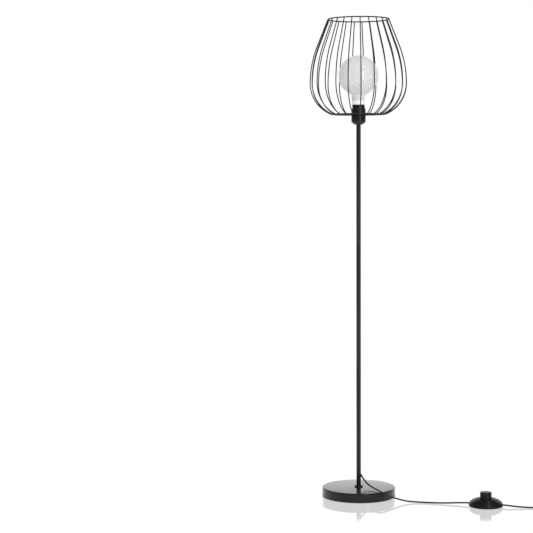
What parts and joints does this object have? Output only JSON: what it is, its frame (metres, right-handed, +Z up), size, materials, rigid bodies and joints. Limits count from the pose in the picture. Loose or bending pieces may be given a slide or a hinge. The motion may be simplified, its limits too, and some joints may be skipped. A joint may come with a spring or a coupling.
{
  "type": "wire cage floor lamp",
  "caption": "Slim black floor lamp with a round base, a globe bulb in a tapered wire cage shade and a round foot switch on its cord.",
  "frame": {"origin": "on the pole's axis at the floor, which is the bottom centre of the lamp without its free cord, switch, coil and plug", "axes": "+Z up along the pole, -Y towards the viewer, +X to the viewer's right, where the cord and the foot switch lie"},
  "size_m": [0.8145, 0.3421, 1.5001],
  "materials": {
    "black_metal": "satin powder coat",
    "wire": "satin powder coat",
    "weight": "cast cement",
    "pad": "matt",
    "zinc": "zinc plated",
    "cord": "smooth cord sheath",
    "black_plastic": "satin",
    "switch_plastic": "semi-gloss",
    "insulator": "matt",
    "brass": "plain",
    "bulb_metal": "plain",
    "opal": "opal",
    "white_plastic": "satin",
    "board": "circuit board"
  },
  "bodies": {
    "lamp": {"base_cover": "black_metal", "base_weight": "weight", "base_pad": "pad", "base_washer": "zinc", "base_nut": "zinc", "base_nipple": "zinc", "pole_collar": "black_metal", "pole_lower": "black_metal", "pole_middle": "black_metal", "pole_upper": "black_metal", "pole_inserts": "zinc", "pole_nipples": "zinc", "top_nipple": "zinc", "cord_bush": "cord", "inner_lead": "cord", "lampholder_cap": "black_plastic", "lampholder_grip_screw": "zinc", "lampholder_skirt": "black_plastic", "lampholder_core": "insulator", "lampholder_shell": "brass", "lampholder_contact": "brass", "lampholder_terminals": "zinc", "switch_cover": "switch_plastic", "switch_base": "switch_plastic", "switch_screws": "zinc", "switch_feet": "pad", "switch_block": "insulator", "switch_spring": "zinc", "cord_coil": "cord", "coil_tie": "cord", "cord_to_switch": "cord", "cord_to_coil": "cord", "cord_to_plug": "cord", "plug_relief": "cord", "plug_body": "black_plastic", "plug_pins": "brass"},
    "shade": {"shade_bottom_ring": "wire", "shade_top_ring": "wire", "shade_fitter": "wire", "shade_spokes": "wire", "shade_ribs_1": "wire", "shade_ribs_2": "wire", "shade_ribs_3": "wire", "shade_ribs_4": "wire", "shade_ribs_5": "wire", "shade_ribs_6": "wire", "shade_ribs_7": "wire", "shade_ribs_8": "wire"},
    "retaining_ring": {"shade_retaining_ring": "black_plastic"},
    "bulb": {"bulb_globe": "opal", "bulb_collar": "white_plastic", "bulb_cap": "bulb_metal", "bulb_insulator": "insulator", "bulb_tip": "brass", "bulb_board": "bulb_metal", "bulb_driver": "board"},
    "button": {"switch_button": "switch_plastic"}
  },
  "joints": [
    {"name": "shade_turn", "type": "hinge", "parent": "lamp", "child": "shade", "pos_m": [0, 0, 1.2038], "axis": [0, 0, 1], "continuous": true},
    {"name": "retainer_turn", "type": "hinge", "parent": "lamp", "child": "retaining_ring", "pos_m": [0, 0, 1.2047], "axis": [0, 0, 1], "range_deg": [0, 1080]},
    {"name": "bulb_lift", "type": "slide", "parent": "lamp", "child": "bulb", "axis": [0, 0, 1], "range_m": [0, 0.33]},
    {"name": "button_press", "type": "slide", "parent": "lamp", "child": "button", "axis": [0, 0, -1], "range_m": [0, 0.004], "stiffness_N_per_m": 400, "springref_m": -0.005, "deforming": ["switch_spring"]}
  ]
}
